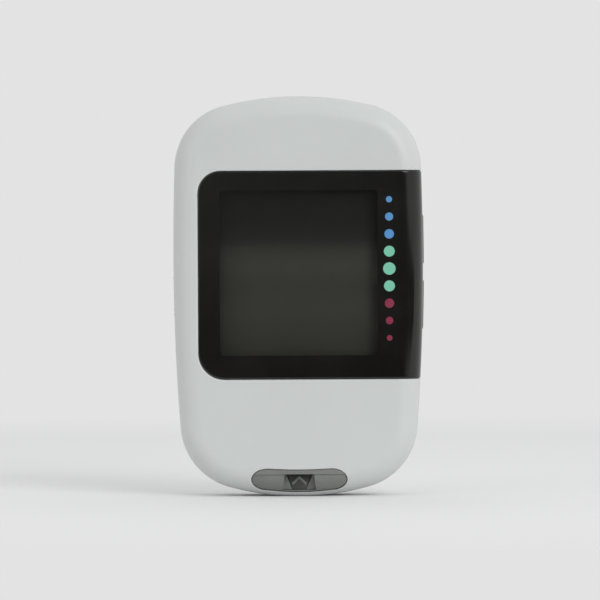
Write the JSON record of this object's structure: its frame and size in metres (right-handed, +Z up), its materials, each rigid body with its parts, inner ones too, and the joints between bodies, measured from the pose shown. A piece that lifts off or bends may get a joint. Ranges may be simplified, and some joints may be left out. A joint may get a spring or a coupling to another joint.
{
  "type": "blood glucose meter",
  "caption": "Slim hand-held blood glucose meter with a wrap-round display window, a strip port at one end, side buttons, a strip ejector and a coin cell bay under a back door.",
  "frame": {"origin": "middle of the meter's box in X and Y, at the height of the foot it stands on", "axes": "+Z up along the body from the strip port end to the socket end, +X to the right as seen from the display, +Y from the display to the back"},
  "size_m": [0.0486, 0.0153, 0.0771],
  "materials": {
    "housing_plastic": "fine satin texture, pale cool grey",
    "window_plastic": "high gloss, black printed behind",
    "dot_print": "printed dots, blue, green and dark red",
    "display_glass": "dark unlit segment display",
    "white_plastic": "white moulded holder and light guide",
    "elastomer": "layered elastomer connector",
    "board_laminate": "green solder mask",
    "chip_resin": "black moulded resin",
    "tinned_metal": "tinned or nickel plated steel",
    "gold_contacts": "gold flashed spring metal",
    "port_plastic": "smoked grey, half clear",
    "guide_plastic": "dark grey with a raised arrow head",
    "black_plastic": "satin black",
    "ejector_plastic": "mid grey, ribbed thumb cap",
    "spring_steel": "drawn spring wire",
    "cell_steel": "nickel plated coin cell can",
    "label_film": "blank silver-grey film"
  },
  "bodies": {
    "root": {"front_housing": "housing_plastic", "rear_housing": "housing_plastic", "display_window": "window_plastic", "range_dots": "dot_print", "lcd_panel": "display_glass", "lcd_holder": "white_plastic", "backlight": "white_plastic", "zebra_strips": "elastomer", "circuit_board": "board_laminate", "processor_chip": "chip_resin", "radio_chip": "chip_resin", "crystal": "tinned_metal", "small_parts": "chip_resin", "usb_connector": "tinned_metal", "usb_tongue": "black_plastic", "strip_port_insert": "port_plastic", "strip_guide": "guide_plastic", "strip_connector": "black_plastic", "strip_contacts": "gold_contacts", "ejector_spring": "spring_steel", "up_switch": "tinned_metal", "down_switch": "tinned_metal", "left_cell": "cell_steel", "right_cell": "cell_steel", "negative_contacts": "gold_contacts", "positive_contacts": "gold_contacts", "housing_screws": "tinned_metal", "rating_label": "label_film"},
    "upper_key": {"up_button": "black_plastic", "up_plunger": "white_plastic"},
    "lower_key": {"down_button": "black_plastic", "down_plunger": "white_plastic"},
    "ejector": {"strip_ejector": "ejector_plastic"},
    "door": {"battery_door": "housing_plastic"}
  },
  "joints": [
    {"name": "up_press", "type": "slide", "parent": "root", "child": "upper_key", "axis": [-1, 0, 0], "range_m": [0, 0.00035], "stiffness_N_per_m": 4000},
    {"name": "down_press", "type": "slide", "parent": "root", "child": "lower_key", "axis": [-1, 0, 0], "range_m": [0, 0.00035], "stiffness_N_per_m": 4000},
    {"name": "eject_slide", "type": "slide", "parent": "root", "child": "ejector", "axis": [0, 0, -1], "range_m": [0, 0.005], "stiffness_N_per_m": 150, "deforming": ["ejector_spring"]},
    {"name": "door_turn", "type": "hinge", "parent": "root", "child": "door", "pos_m": [0, 0.00765, 0.042], "axis": [-1, 0, 0], "range_deg": [0, 70]}
  ]
}
